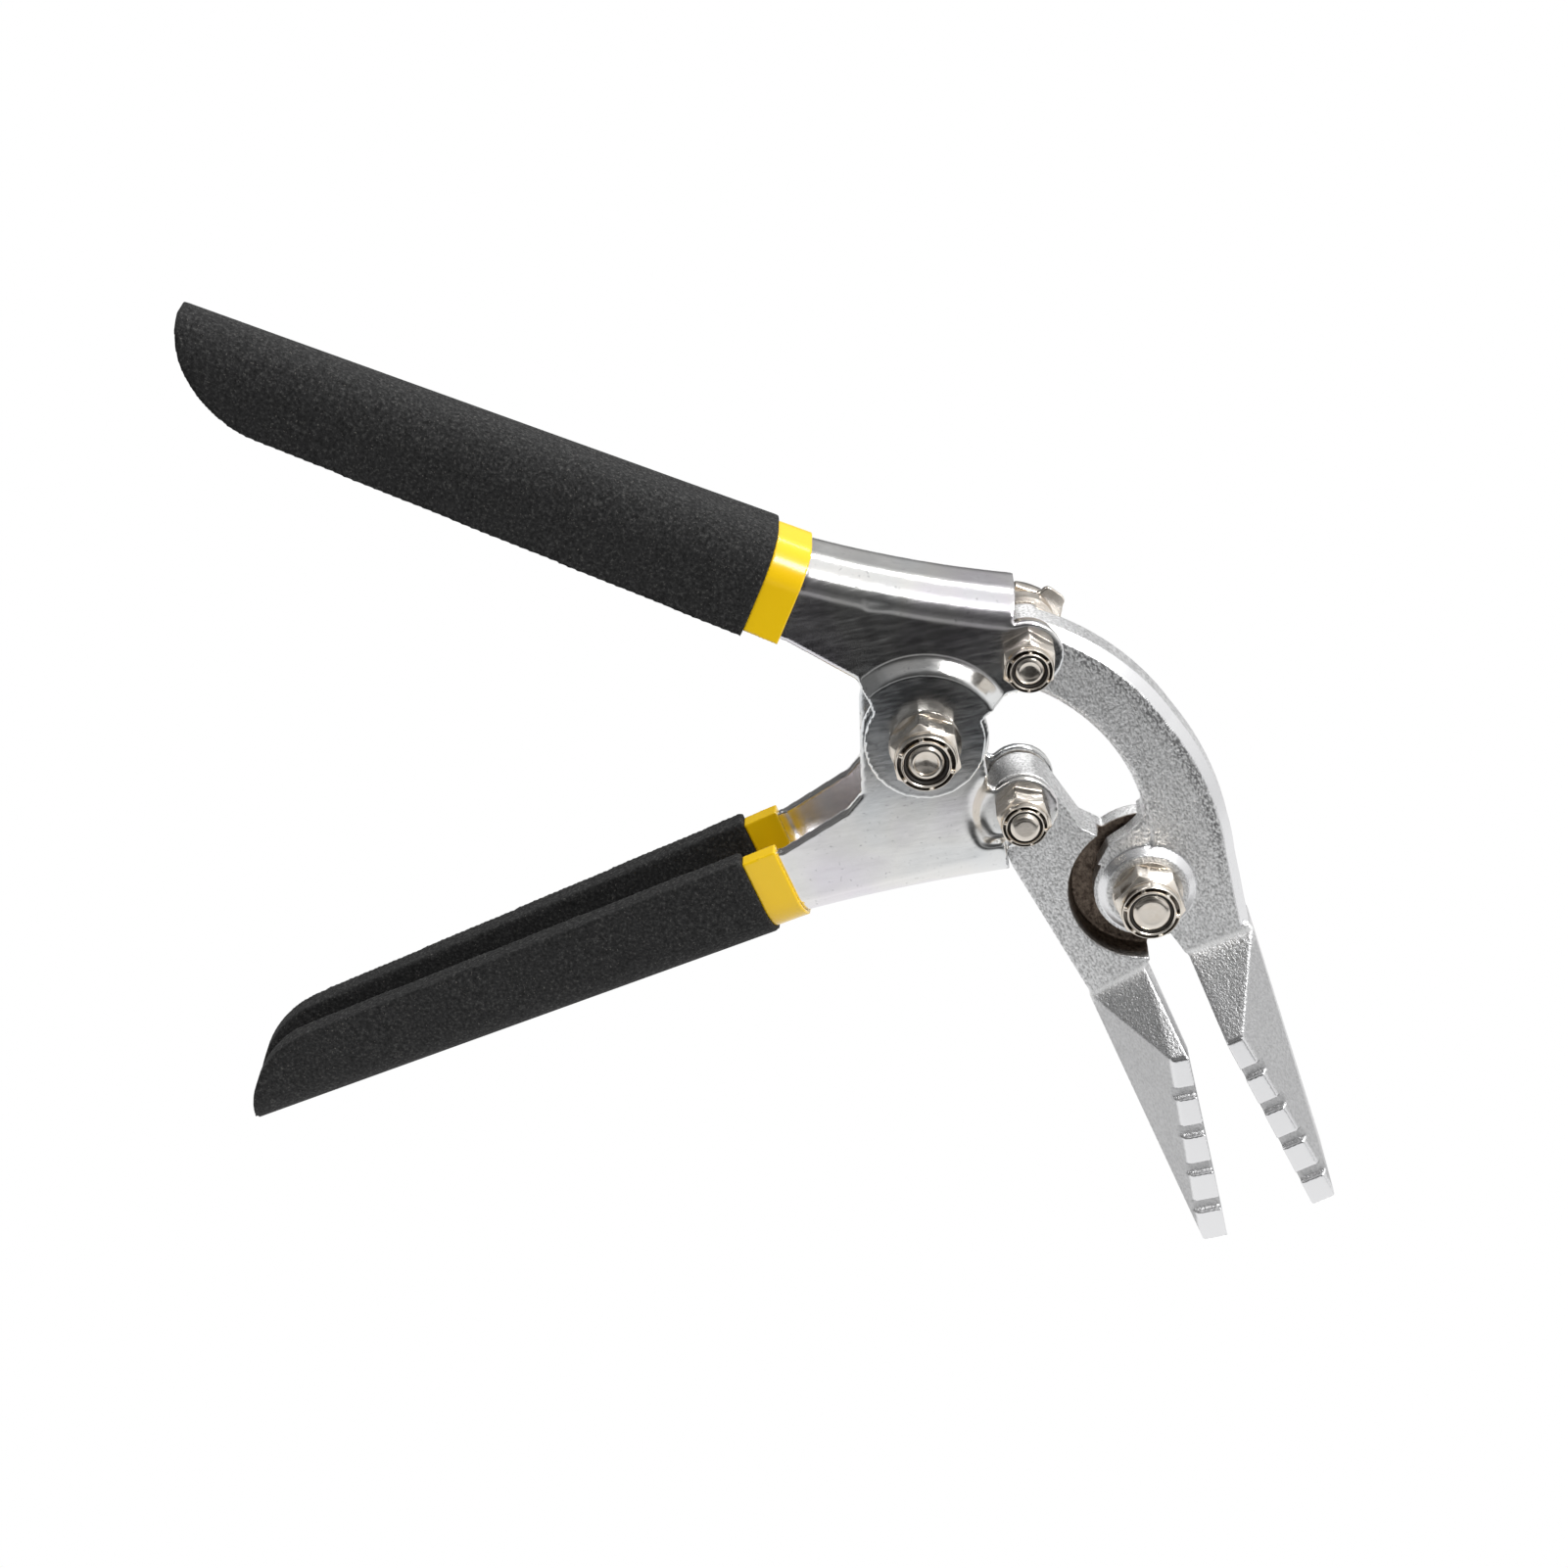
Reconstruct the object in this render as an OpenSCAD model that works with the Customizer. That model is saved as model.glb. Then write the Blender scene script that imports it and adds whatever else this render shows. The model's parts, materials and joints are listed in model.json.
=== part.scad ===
// Compound-action offset sheet-metal folding pliers.
// Two pressed channel handles drive two forged jaws through four lock-nutted bolts.
// Every piece is drawn lying flat, with the bolts along Z, and stand() sets the
// tool upright on its inner jaw tip and on the end of its lower grip.

/* [Pivots] */
// Upper bolt, to the right of the rear bolt
upper_pivot_x = 20; // [19.6:0.1:20.4]
// Upper bolt, above the rear bolt
upper_pivot_y = 18.5; // [18.2:0.1:18.8]
// Lower bolt, to the right of the rear bolt
lower_pivot_x = 20.4; // [20:0.1:20.8]
// Lower bolt, above the rear bolt
lower_pivot_y = -16.5; // [-16.8:0.1:-16.2]
// Jaw bolt, to the right of the rear bolt
jaw_pivot_x = 47; // [46.8:0.1:47.2]
// Jaw bolt, above the rear bolt
jaw_pivot_y = -36.4; // [-36.6:0.1:-36.2]

/* [Channels] */
// Outside width of both handle channels
channel_w = 20; // [19.6:0.1:20.4]
// Thickness of the pressed sheet
sheet_t = 2; // [1.8:0.1:2.2]
// Outside radius of the two long bends
bend_r = 7; // [5:0.5:8]
// Depth of a channel from its web to its rims
channel_d = 17.2; // [16.5:0.1:18]
// Length of the straight handle behind the band's front edge
handle_l = 130; // [115:1:135]
// Angle at which each side wall closes in towards the handle's end
wall_taper = 1.5; // [0:0.1:1.8]
// Angle at which the rims close in towards the handle's end
rim_taper = 1.5; // [0:0.1:1.6]
// Direction of the upper handle
upper_angle = 158.6; // [158:0.1:159]
// Direction of the lower handle
lower_angle = 203.5; // [203:0.1:204]

/* [Grips] */
// Thickness of the foam outside the channel
foam_t = 1.9; // [1.5:0.1:2.2]
// Thickness of the foam lining inside the channel
lining_t = 1.6; // [1:0.1:2]
// Length of the yellow band
band_l = 7.4; // [6:0.1:9]
// Thickness of the yellow band
band_t = 0.9; // [0.6:0.1:1.2]

/* [Jaws] */
// Thickness of both jaw bodies
jaw_t = 10; // [9.4:0.1:10.4]
// Distance from the middle plane to the notched edges of the gripping plates
blade_reach = 18; // [15:1:22]
// Thickness of the gripping plates at the root of their edges
blade_t = 3.4; // [3:0.1:4]
// Thickness of the gripping plates at their tips
tip_t = 5.2; // [4.6:0.1:5.6]
// Distance from the jaw bolt to the root of the plates
blade_root = 34.5; // [32:0.5:36]
// Distance from the jaw bolt to the tips of the plates
blade_tip = 80; // [78:0.5:82]
// Pitch of the depth notches along the plate edges
notch_pitch = 9.6; // [9:0.1:9.8]
// Width of a depth notch
notch_w = 2.9; // [2:0.1:4]
// Depth of a depth notch
notch_d = 1.3; // [0.8:0.1:1.6]
// Outside radius of the curved arm
arm_outer_r = 54.8; // [54:0.1:56]
// Inside radius of the curved arm
arm_inner_r = 41; // [40:0.5:42]
// Radius of the half-lapped hub of the inner jaw
hub_r = 15; // [14:0.1:15]

/* [Fasteners] */
// Thread diameter of the rear bolt and the jaw bolt
big_d = 8; // [8]
// Thread diameter of the upper bolt and the lower bolt
small_d = 6; // [6]

/* [Hidden] */
$fn = 96;

// Upright stance: turn about the bolt direction, then shift to the middle of the base
stance = 5.67;
shift_x = 26.42;
shift_y = 1.7;
lift = 108.37;

upper_pivot = [upper_pivot_x, upper_pivot_y];
lower_pivot = [lower_pivot_x, lower_pivot_y];
jaw_pivot = [jaw_pivot_x, jaw_pivot_y];

// Channel levels
half_w = channel_w / 2;
inner_w = half_w - sheet_t;
// The rear ears of the upper channel lap over the lower channel
ear_gap = 0.2;
ear_top = half_w + ear_gap + sheet_t;
// The front ears of the lower channel are pressed inwards
pinch = 1.5;
pinch_top = half_w - pinch;

// Front point of each handle's web line, at the front edge of its band
upper_start = [-23, 38];
lower_start = [-23, -41.8];
// The front stretch of each web runs on an arc: start slope, turn and radius
upper_slope = -15.5;
upper_turn = 10;
upper_arc_r = 236;
lower_slope = 17;
lower_turn = 7;
lower_arc_r = 349;
web_wall = 9;
joint_step = 0.12;

// Ear radii
rear_ear_r = 12.2;
neck_r = 13;
front_ear_r = 7.2;
far_ear_r = 5.6;

// Jaw geometry
half_jaw = jaw_t / 2;
outer_angle = -62.3;
inner_angle = -76.2;
outer_face = 1.2;
outer_relief = 0;
inner_relief = 5.1;
inner_face = -1.1;
lap = 0.4;
pocket_r = hub_r + 0.4;
pocket_flare = 1;
boss_r = 9.6;
boss_h = 1.5;
arm_centre = [6, -29];
shoulder_centre = [-0.65, -39.5];
shoulder_r = 66.5;
// Crease from which each plate flares: its near end, its far end, and the far end's height
outer_crease = [17.6, 18.3];
outer_body = 14.5;
inner_crease = [18, 22];
inner_body = 17.6;
notch_cut = 12;
back_root = 46;
crease_dip = 0.1;
notch_start = 41.2;
notch_count = 4;

// Fasteners
running = 0.05;
// How far each nut is turned
rear_nut_turn = 20;
upper_nut_turn = 50;
jaw_nut_turn = 25;
big_r = big_d / 2 - running;
small_r = small_d / 2 - running;
big_af = 13;
small_af = 10;
big_nut_h = 9.5;
small_nut_h = 8;
head_ratio = 0.62;
washer_t = 1.2;
free_play = 0.65;
spring_r = 8.4;
spring_wire = 1.6;
spring_turns = 5;
latch_t = 1.5;
latch_z = -half_w - 0.3;
latch_hub_r = 4.8;
// Left end of the tab's fold, its direction, and how far the tab leans out
tab_fold = [1.4, 3.9, 0];
tab_turn = -37;
tab_lean = -14;

steel = "silver";
nickel = "tan";
foam = "#202020";
yellow = "gold";

// ---- placing ----

module stand() {
    translate([shift_x, shift_y, lift]) rotate([90, 0, 0]) rotate([0, 0, stance]) children();
}

module at(p, z = 0) {
    translate([p.x, p.y, z]) children();
}

module both_sides() {
    children();
    mirror([0, 0, 1]) children();
}

// Handle frame: X runs back along the web, Y runs from the web into the channel
module upper_handle_frame() {
    at(upper_start) rotate([0, 0, upper_angle]) children();
}

module lower_handle_frame() {
    at(lower_start) rotate([0, 0, lower_angle]) mirror([0, 1, 0]) children();
}

// Jaw frame: X runs from the jaw bolt to the tips, Y runs from the face into the jaw
module outer_jaw_frame() {
    at(jaw_pivot) rotate([0, 0, outer_angle]) children();
}

module inner_jaw_frame() {
    at(jaw_pivot) rotate([0, 0, inner_angle]) mirror([0, 1, 0]) children();
}

// ---- channels ----

// Solid section with two round corners: depth along X, width along Y
module round_section(start, depth, half, r) {
    translate([start + r, -half]) square([depth - start - r, 2 * half]);
    translate([start, -(half - r)]) square([depth, 2 * (half - r)]);
    for (side = [-1, 1]) translate([start + r, side * (half - r)]) circle(r);
}

// U section, open at the far end of its depth
module u_section(depth, outside = 0, inside = 0) {
    difference() {
        intersection() {
            round_section(-outside, depth + 20, half_w + outside, bend_r + outside);
            translate([-outside, -half_w - outside]) square([depth + outside, channel_w + 2 * outside]);
        }
        round_section(sheet_t + inside, depth + 20, inner_w - inside, bend_r - sheet_t - inside);
    }
}

// Side outline of a handle: sloping rims, square at the front, rounded towards its end
module handle_outline(start, grow) {
    rim_r = 23;
    tip_r = 4;
    end = handle_l + grow;
    difference() {
        translate([start, -grow]) square([end - start, channel_d + 2 * grow]);
        translate([0, channel_d + grow]) rotate(-rim_taper) {
            translate([start - 1, 0]) square([end - start + 2, 9]);
            translate([end - rim_r, -rim_r]) difference() {
                square([rim_r + 9, rim_r + 9]);
                circle(rim_r);
            }
        }
        translate([end - tip_r, tip_r - grow]) difference() {
            translate([0, -tip_r - 1]) square([tip_r + 1, tip_r + 1]);
            circle(tip_r);
        }
    }
}

// A section drawn back along the handle, with both side walls closing in on each other
module tapered_run(start, end) {
    overlap = 1;
    both_sides() intersection() {
        rotate([0, wall_taper, 0]) translate([start, 0, 0]) rotate([90, 0, 90])
            linear_extrude(end - start) children();
        translate([start - 5, -25, -overlap]) cube([end - start + 10, 70, 40]);
    }
}

// The handle's own stretch slips this far inside the stretch in front of it
module handle_u(start = 0) {
    intersection() {
        tapered_run(start, handle_l + 5) u_section(channel_d, -joint_step, joint_step);
        translate([0, 0, -half_w - 1]) linear_extrude(channel_w + 2) handle_outline(start, 0);
    }
}

// A coat over the channel from one place to another along the handle
module coat(from, to, outside, inside) {
    difference() {
        intersection() {
            tapered_run(-1, to + 1)
                round_section(-outside, channel_d + 2 * outside, half_w + outside, bend_r + outside);
            translate([0, 0, -half_w - outside - 1]) linear_extrude(channel_w + 2 * outside + 2)
                intersection() {
                    handle_outline(from, outside);
                    translate([from, -outside - 1]) square([to - from, channel_d + 2 * outside + 2]);
                }
        }
        handle_u(-1);
        tapered_run(-2, min(to, handle_l - 5) + 1)
            round_section(sheet_t + inside, channel_d + 20, inner_w - inside, bend_r - sheet_t - inside);
    }
}

module arc_web(start, slope, turn, r, up) {
    angle0 = up ? slope - 90 : slope + 90;
    centre = [start.x - r * cos(angle0), start.y - r * sin(angle0)];
    at(centre) rotate([0, 0, up ? angle0 : angle0 - turn]) rotate_extrude(angle = turn, $fn = 720)
        translate([r, 0]) u_section(web_wall);
}

// Side walls whose level changes on a cone round one pivot
module stepped_wall(pivot, level, r_in, r_out) {
    far = 90;
    at(pivot) rotate_extrude() polygon([
        [0, level], [r_in, level], [r_out, half_w], [far, half_w],
        [far, inner_w], [r_out, inner_w], [r_in, level - sheet_t], [0, level - sheet_t]]);
}

module upper_wall_outline(ear_r) {
    circle(rear_ear_r);
    at(upper_pivot) circle(ear_r);
    polygon([[-25, 30.4], [-28, 21.5], [-14, 13.2], [-11.4, 9.2], [-9, 2], [8, 2], [15.5, 9.5],
             [22, 11.6], [upper_pivot_x + 2, upper_pivot_y + ear_r - 0.3], [17.4, 22.8]]);
}

module upper_channel() color(steel) stand() difference() {
    union() {
        upper_handle_frame() handle_u(-2);
        arc_web(upper_start, upper_slope, upper_turn, upper_arc_r, true);
        for (side = [0, 1]) mirror([0, 0, side]) intersection() {
            stepped_wall([0, 0], ear_top, 15.5, 18.5);
            linear_extrude(20) upper_wall_outline(side == 0 ? front_ear_r : far_ear_r);
        }
    }
    cylinder(h = 60, r = big_d / 2 + running, center = true);
    at(upper_pivot) cylinder(h = 60, r = small_d / 2 + running, center = true);
}

module lower_wall_outline() {
    circle(neck_r);
    at(lower_pivot) circle(front_ear_r);
    polygon([[-24.8, -37.4], [-29.3, -26], [-15.4, -16.2], [-12.6, -12.4], [-13, 0], [12.8, -1],
             [12.2, -4], [13.4, -11], [26, -21], [22.6, -23.6], [17.5, -25.6]]);
}

module lower_channel() color(steel) stand() difference() {
    union() {
        lower_handle_frame() handle_u(-2);
        arc_web(lower_start, lower_slope, lower_turn, lower_arc_r, false);
        for (side = [0, 1]) mirror([0, 0, side]) intersection() {
            stepped_wall(lower_pivot, pinch_top, 8.5, 11);
            linear_extrude(20) lower_wall_outline();
        }
    }
    cylinder(h = 60, r = big_d / 2 + running, center = true);
    at(lower_pivot) cylinder(h = 60, r = small_d / 2 + running, center = true);
}

// ---- grips and bands ----

module grip_coat() {
    coat(band_l, handle_l + foam_t + 2, foam_t, lining_t);
}

module band_coat() {
    coat(0, band_l, band_t, band_t);
}

module upper_grip() color(foam) stand() upper_handle_frame() grip_coat();
module lower_grip() color(foam) stand() lower_handle_frame() grip_coat();
module upper_band() color(yellow) stand() upper_handle_frame() band_coat();
module lower_band() color(yellow) stand() lower_handle_frame() band_coat();

// ---- jaws ----

// Gripping plate, level with the jaw body on its back side; from a crease it flares out
// towards the nuts, where its edge is notched
module blade(face, relief, crease, body, tip) {
    difference() {
        hull() {
            translate([0, 0, -half_jaw + crease_dip]) linear_extrude(jaw_t - 2 * crease_dip)
                polygon([[crease[0], face + relief], [crease[0] + 0.5, face + relief],
                         [crease[1] + 0.5, face + body], [crease[1], face + body]]);
            for (edge = [[-half_jaw, back_root], [blade_reach - 3, blade_root]])
                translate([0, 0, edge[0]]) linear_extrude(3)
                    polygon([[edge[1], face], [tip, face], [tip, face + tip_t],
                             [edge[1], face + blade_t]]);
        }
        for (i = [0 : notch_count - 1])
            translate([notch_start + i * notch_pitch, face - 1, blade_reach - notch_d])
                cube([notch_w, notch_cut, 2 * notch_d]);
    }
}

// Curved arm: a ring sector round its centre, then the flatter shoulder of its outer edge
module arm_outline() {
    at(arm_centre) intersection() {
        difference() {
            circle(arm_outer_r, $fn = 180);
            circle(arm_inner_r, $fn = 180);
        }
        polygon([[0, 0], [80, 0], [80, 80], [23.5, 80]]);
    }
    intersection() {
        at(shoulder_centre) circle(shoulder_r, $fn = 180);
        polygon([[44.8, -0.8], [50.3, 3.2], [60, 6], [75, -10], [64.7, -27.4], [52, -30]]);
    }
}

module outer_outline() {
    arm_outline();
    at(upper_pivot) translate([0, -2.4]) circle(7.6);
    polygon([[47, -29.1], [45.3, -18.5], [56, -22], [64.7, -27.4], [69.4, -46.7], [58.7, -52.3],
             [56, -51.8], [52.4, -46.8]]);
    at(jaw_pivot) circle(11);
    polygon([[47, -28], [45.8, -19.5], [42.5, -23.4], [38.4, -26.6], [36.4, -31]]);
}

module outer_jaw() color(steel) stand() difference() {
    union() {
        translate([0, 0, -half_jaw]) linear_extrude(jaw_t) outer_outline();
        at(jaw_pivot) cylinder(h = half_jaw + boss_h, r = boss_r);
        outer_jaw_frame() blade(outer_face, outer_relief, outer_crease, outer_body, blade_tip - 1);
    }
    at(jaw_pivot, -half_jaw - 1) cylinder(h = half_jaw + 1 + lap, r = pocket_r);
    at(jaw_pivot) cylinder(h = 60, r = big_d / 2 + running, center = true);
    at(upper_pivot) cylinder(h = 60, r = small_d / 2 + free_play, center = true);
}

module inner_outline() {
    at(lower_pivot) circle(6.8);
    polygon([[14, -18.8], [18.8, -31], [37.2, -62.7], [46.3, -57.2], [48.5, -53.5], [47, -36.4],
             [38, -25], [32.9, -22.4], [26.2, -13]]);
}

module inner_jaw() color(steel) stand() difference() {
    union() {
        difference() {
            union() {
                translate([0, 0, -half_jaw]) linear_extrude(jaw_t) inner_outline();
                inner_jaw_frame() blade(inner_face, inner_relief, inner_crease, inner_body, blade_tip);
            }
            at(jaw_pivot, -lap) cylinder(h = half_jaw + lap + 0.1, r1 = pocket_r, r2 = pocket_r + pocket_flare);
        }
        at(jaw_pivot, -half_jaw) cylinder(h = half_jaw - lap, r = hub_r);
        at(jaw_pivot, -half_jaw - boss_h) cylinder(h = half_jaw, r = boss_r);
    }
    at(jaw_pivot) cylinder(h = 60, r = big_d / 2 + running, center = true);
    at(lower_pivot) cylinder(h = 60, r = small_d / 2 + running, center = true);
}

module jaw_shim() color(nickel) stand() at(jaw_pivot, -lap + 0.1)
    ring(10, big_d / 2 + running, 2 * (lap - 0.1));

// ---- fasteners ----

module ring(outer, inner, h) {
    difference() {
        cylinder(h = h, r = outer);
        translate([0, 0, -1]) cylinder(h = h + 2, r = inner);
    }
}

// Hexagon with its corners turned down to a cone at both ends
module turned_hexagon(af, h) {
    corner = af / sqrt(3);
    intersection() {
        cylinder(h = h, r = corner, $fn = 6);
        rotate_extrude() polygon([[0, 0], [0.96 * corner, 0], [corner, 0.12 * af],
                                  [corner, h - 0.2 * af], [0.86 * corner, h], [0, h]]);
    }
}

// Lock nut: hexagon, round crown and the seat of the lock ring inside the crown
module lock_nut(af, d, h) {
    hex_h = 0.66 * h;
    difference() {
        union() {
            turned_hexagon(af, hex_h);
            cylinder(h = h - 0.6, r = 0.44 * af);
            translate([0, 0, h - 0.6]) cylinder(h = 0.6, r1 = 0.44 * af, r2 = 0.4 * af);
        }
        translate([0, 0, -1]) cylinder(h = h + 2, r = d / 2);
        translate([0, 0, hex_h]) cylinder(h = h, r = d / 2 + 0.08 * af);
    }
}

module lock_ring(af, d, h) {
    hex_h = 0.66 * h;
    translate([0, 0, hex_h]) ring(d / 2 + 0.08 * af, d / 2, h - hex_h - 0.8);
}

// Bolt with its head at the bottom; the thread end is chamfered
module bolt(af, r, length) {
    head_h = head_ratio * 2 * r;
    translate([0, 0, -head_h]) turned_hexagon(af, head_h);
    translate([0, 0, -1]) cylinder(h = length + 0.2, r = r);
    translate([0, 0, length - 0.8]) cylinder(h = 0.8, r1 = r, r2 = r - 0.7);
}

module rear_bolt() color(nickel) stand() translate([0, 0, -ear_top - washer_t])
    bolt(big_af, big_r, 2 * ear_top + washer_t + big_nut_h - 0.6);
module rear_nut() color(nickel) stand() translate([0, 0, ear_top]) rotate([0, 0, rear_nut_turn])
    lock_nut(big_af, big_d, big_nut_h);
module rear_lock_ring() color(foam) stand() translate([0, 0, ear_top])
    lock_ring(big_af, big_d, big_nut_h);
module rear_washer() color(nickel) stand() translate([0, 0, -ear_top - washer_t])
    ring(8, big_d / 2, washer_t);
module rear_sleeve() color(steel) stand() translate([0, 0, -inner_w + 0.1])
    ring(6, big_d / 2 + running, 2 * (inner_w - 0.1));

module upper_bolt() color(nickel) stand() at(upper_pivot, latch_z - latch_t - washer_t)
    bolt(small_af, small_r, half_w + small_nut_h - 0.4 - latch_z + latch_t + washer_t);
module upper_nut() color(nickel) stand() at(upper_pivot, half_w) rotate([0, 0, upper_nut_turn])
    lock_nut(small_af, small_d, small_nut_h);
module upper_lock_ring() color(foam) stand() at(upper_pivot, half_w)
    lock_ring(small_af, small_d, small_nut_h);
module upper_spacers() color(nickel) stand() both_sides() at(upper_pivot, half_jaw + 0.2)
    ring(6.4, small_d / 2, inner_w - half_jaw - 0.2);

module lower_bolt() color(nickel) stand() at(lower_pivot, -pinch_top)
    bolt(small_af, small_r, 2 * pinch_top + small_nut_h + 0.6);
module lower_nut() color(nickel) stand() at(lower_pivot, pinch_top)
    lock_nut(small_af, small_d, small_nut_h);
module lower_lock_ring() color(foam) stand() at(lower_pivot, pinch_top)
    lock_ring(small_af, small_d, small_nut_h);
module lower_spacers() color(nickel) stand() both_sides() at(lower_pivot, half_jaw + 0.2)
    ring(6.2, small_d / 2, pinch_top - sheet_t - half_jaw - 0.2);

module jaw_bolt() color(nickel) stand() at(jaw_pivot, -half_jaw - boss_h)
    bolt(big_af, big_r, 2 * (half_jaw + boss_h) + big_nut_h);
module jaw_nut() color(nickel) stand() at(jaw_pivot, half_jaw + boss_h + 0.1) rotate([0, 0, jaw_nut_turn])
    lock_nut(big_af, big_d, big_nut_h);
module jaw_lock_ring() color(foam) stand() at(jaw_pivot, half_jaw + boss_h + 0.1)
    lock_ring(big_af, big_d, big_nut_h);

// ---- return spring ----

// Closed tube of round wire along a list of points
module wire(points, r, sides = 8) {
    count = len(points);
    function direction(i) = let (a = points[max(i - 1, 0)], b = points[min(i + 1, count - 1)])
        (b - a) / norm(b - a);
    function across(t) = let (c = cross(t, [0.13, 0.21, 0.97])) c / norm(c);
    rings = [for (i = [0 : count - 1]) let (t = direction(i), u = across(t), v = cross(t, u))
        for (k = [0 : sides - 1])
            points[i] + r * (cos(360 * k / sides) * u + sin(360 * k / sides) * v)];
    sides_faces = [for (i = [0 : count - 2]) for (k = [0 : sides - 1])
        let (k2 = (k + 1) % sides)
        [i * sides + k, i * sides + k2, (i + 1) * sides + k2, (i + 1) * sides + k]];
    ends = [[for (k = [sides - 1 : -1 : 0]) k],
            [for (k = [0 : sides - 1]) (count - 1) * sides + k]];
    polyhedron(points = rings, faces = concat(sides_faces, ends), convexity = 10);
}

module return_spring() color(steel) stand() {
    steps = 18;
    pitch = spring_wire + 0.5;
    low = -spring_turns * pitch / 2;
    coil = [for (i = [0 : spring_turns * steps])
        let (a = 180 + 360 * i / steps)
        [spring_r * cos(a), spring_r * sin(a), low + pitch * i / steps]];
    upper_leg = [[-9.5, 24, low], [-spring_r - 0.3, 4, low]];
    lower_leg = [[-spring_r - 0.3, -4, -low], [-9.5, -34.4, -low]];
    wire(concat(upper_leg, coil, lower_leg), spring_wire / 2);
}

// ---- latch ----

// Plate with a hub, a hooked arm along the channel and a thumb tab folded outwards
module latch() color(nickel) stand() {
    difference() {
        at(upper_pivot, latch_z - latch_t) linear_extrude(latch_t) {
            circle(latch_hub_r);
            polygon([[0, latch_hub_r - 0.1], [-22, 11.4], [-25.5, 9.4], [-25, 2.4], [-22.6, 3.4],
                     [-21.4, 5], [0, -latch_hub_r]]);
            polygon([[-1.6, latch_hub_r - 0.3], [1.6, 4.1], [7.8, -0.9], [3, -3.5]]);
        }
        at(upper_pivot) cylinder(h = 60, r = small_d / 2 + running, center = true);
    }
    at(upper_pivot, latch_z - latch_t / 2) translate(tab_fold) rotate([0, 0, tab_turn])
        rotate([tab_lean, 0, 0]) translate([0, -0.5, -latch_t / 2]) linear_extrude(latch_t) {
            polygon([[0, 0], [8, 0], [8, 0.6], [6.6, 3.4], [1.4, 3.4], [0, 0.6]]);
            translate([2.8, 3.2]) circle(1.5);
            translate([5.2, 3.2]) circle(1.5);
            translate([2.8, 3.2]) square([2.4, 1.5]);
        }
}

module latch_washer() color(nickel) stand() at(upper_pivot, latch_z - latch_t - washer_t)
    ring(4.4, small_d / 2, washer_t - 0.1);

lower_channel();
lower_grip();
lower_band();
upper_channel();
upper_grip();
upper_band();
inner_jaw();
outer_jaw();
jaw_shim();
rear_bolt();
rear_nut();
rear_lock_ring();
rear_washer();
rear_sleeve();
upper_bolt();
upper_nut();
upper_lock_ring();
upper_spacers();
lower_bolt();
lower_nut();
lower_lock_ring();
lower_spacers();
jaw_bolt();
jaw_nut();
jaw_lock_ring();
return_spring();
latch();
latch_washer();
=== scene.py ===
"""Sheet-metal folding pliers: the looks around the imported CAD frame.

Tool coordinates, in millimetres, lie flat: x to the right, y up, z along the bolts
towards the nuts, with the origin on the rear bolt. tool() takes them to the row frame.
"""

import json
import math

import bmesh
import bpy
import numpy as np
from mathutils import Matrix, Vector


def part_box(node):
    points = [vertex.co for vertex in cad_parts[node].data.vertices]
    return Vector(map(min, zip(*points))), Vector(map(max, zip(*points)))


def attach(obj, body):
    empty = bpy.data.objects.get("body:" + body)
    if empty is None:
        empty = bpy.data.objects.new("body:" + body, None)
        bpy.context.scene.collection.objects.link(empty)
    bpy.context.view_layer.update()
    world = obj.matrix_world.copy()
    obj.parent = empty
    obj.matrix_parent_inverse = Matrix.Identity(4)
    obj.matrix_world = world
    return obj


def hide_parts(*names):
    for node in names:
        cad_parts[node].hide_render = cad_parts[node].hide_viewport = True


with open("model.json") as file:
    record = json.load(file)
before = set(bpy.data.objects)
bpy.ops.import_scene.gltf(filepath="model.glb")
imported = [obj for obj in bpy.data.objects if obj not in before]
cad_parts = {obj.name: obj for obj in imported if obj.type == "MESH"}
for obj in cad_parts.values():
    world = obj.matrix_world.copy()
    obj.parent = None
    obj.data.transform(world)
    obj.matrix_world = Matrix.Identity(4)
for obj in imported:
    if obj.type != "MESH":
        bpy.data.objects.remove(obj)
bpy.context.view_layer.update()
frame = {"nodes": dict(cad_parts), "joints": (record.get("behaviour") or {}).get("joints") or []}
MM = 0.001
STANCE = math.radians(5.67)
JOINTS = {j["name"]: np.array(j["pos_m"]) / MM for j in frame["joints"]}
REAR = JOINTS["handle_fold"]
TURN = np.array([[math.cos(STANCE), -math.sin(STANCE)], [math.sin(STANCE), math.cos(STANCE)]])


def tool(p):
    """Row frame millimetres of points in tool coordinates."""
    p = np.atleast_2d(np.asarray(p, float))
    xz = p[:, :2] @ TURN.T
    return np.c_[REAR[0] + xz[:, 0], REAR[1] - p[:, 2], REAR[2] + xz[:, 1]]


def untool(w):
    """Tool coordinates of points in row frame millimetres."""
    xz = np.c_[w[:, 0] - REAR[0], w[:, 2] - REAR[2]] @ TURN
    return np.c_[xz, REAR[1] - w[:, 1]]


def pivot(name):
    """Where a joint's axis crosses the plane of the tool."""
    return untool(JOINTS[name][None])[0][:2]


A, B, C, D = (pivot(n) for n in
              ("handle_fold", "latch_turn", "inner_jaw_turn", "outer_jaw_turn"))

# ---- camera ----

LENS, SENSOR = 69.93, 36
CAMERA_PLACE = Vector((-21.56, -560.06, 369.9)) * MM
CAMERA_TURN = Matrix(((0.99504, -0.09353, -0.03382),
                      (0.01151, 0.44603, -0.89494),
                      (0.09879, 0.89012, 0.4449)))

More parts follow.
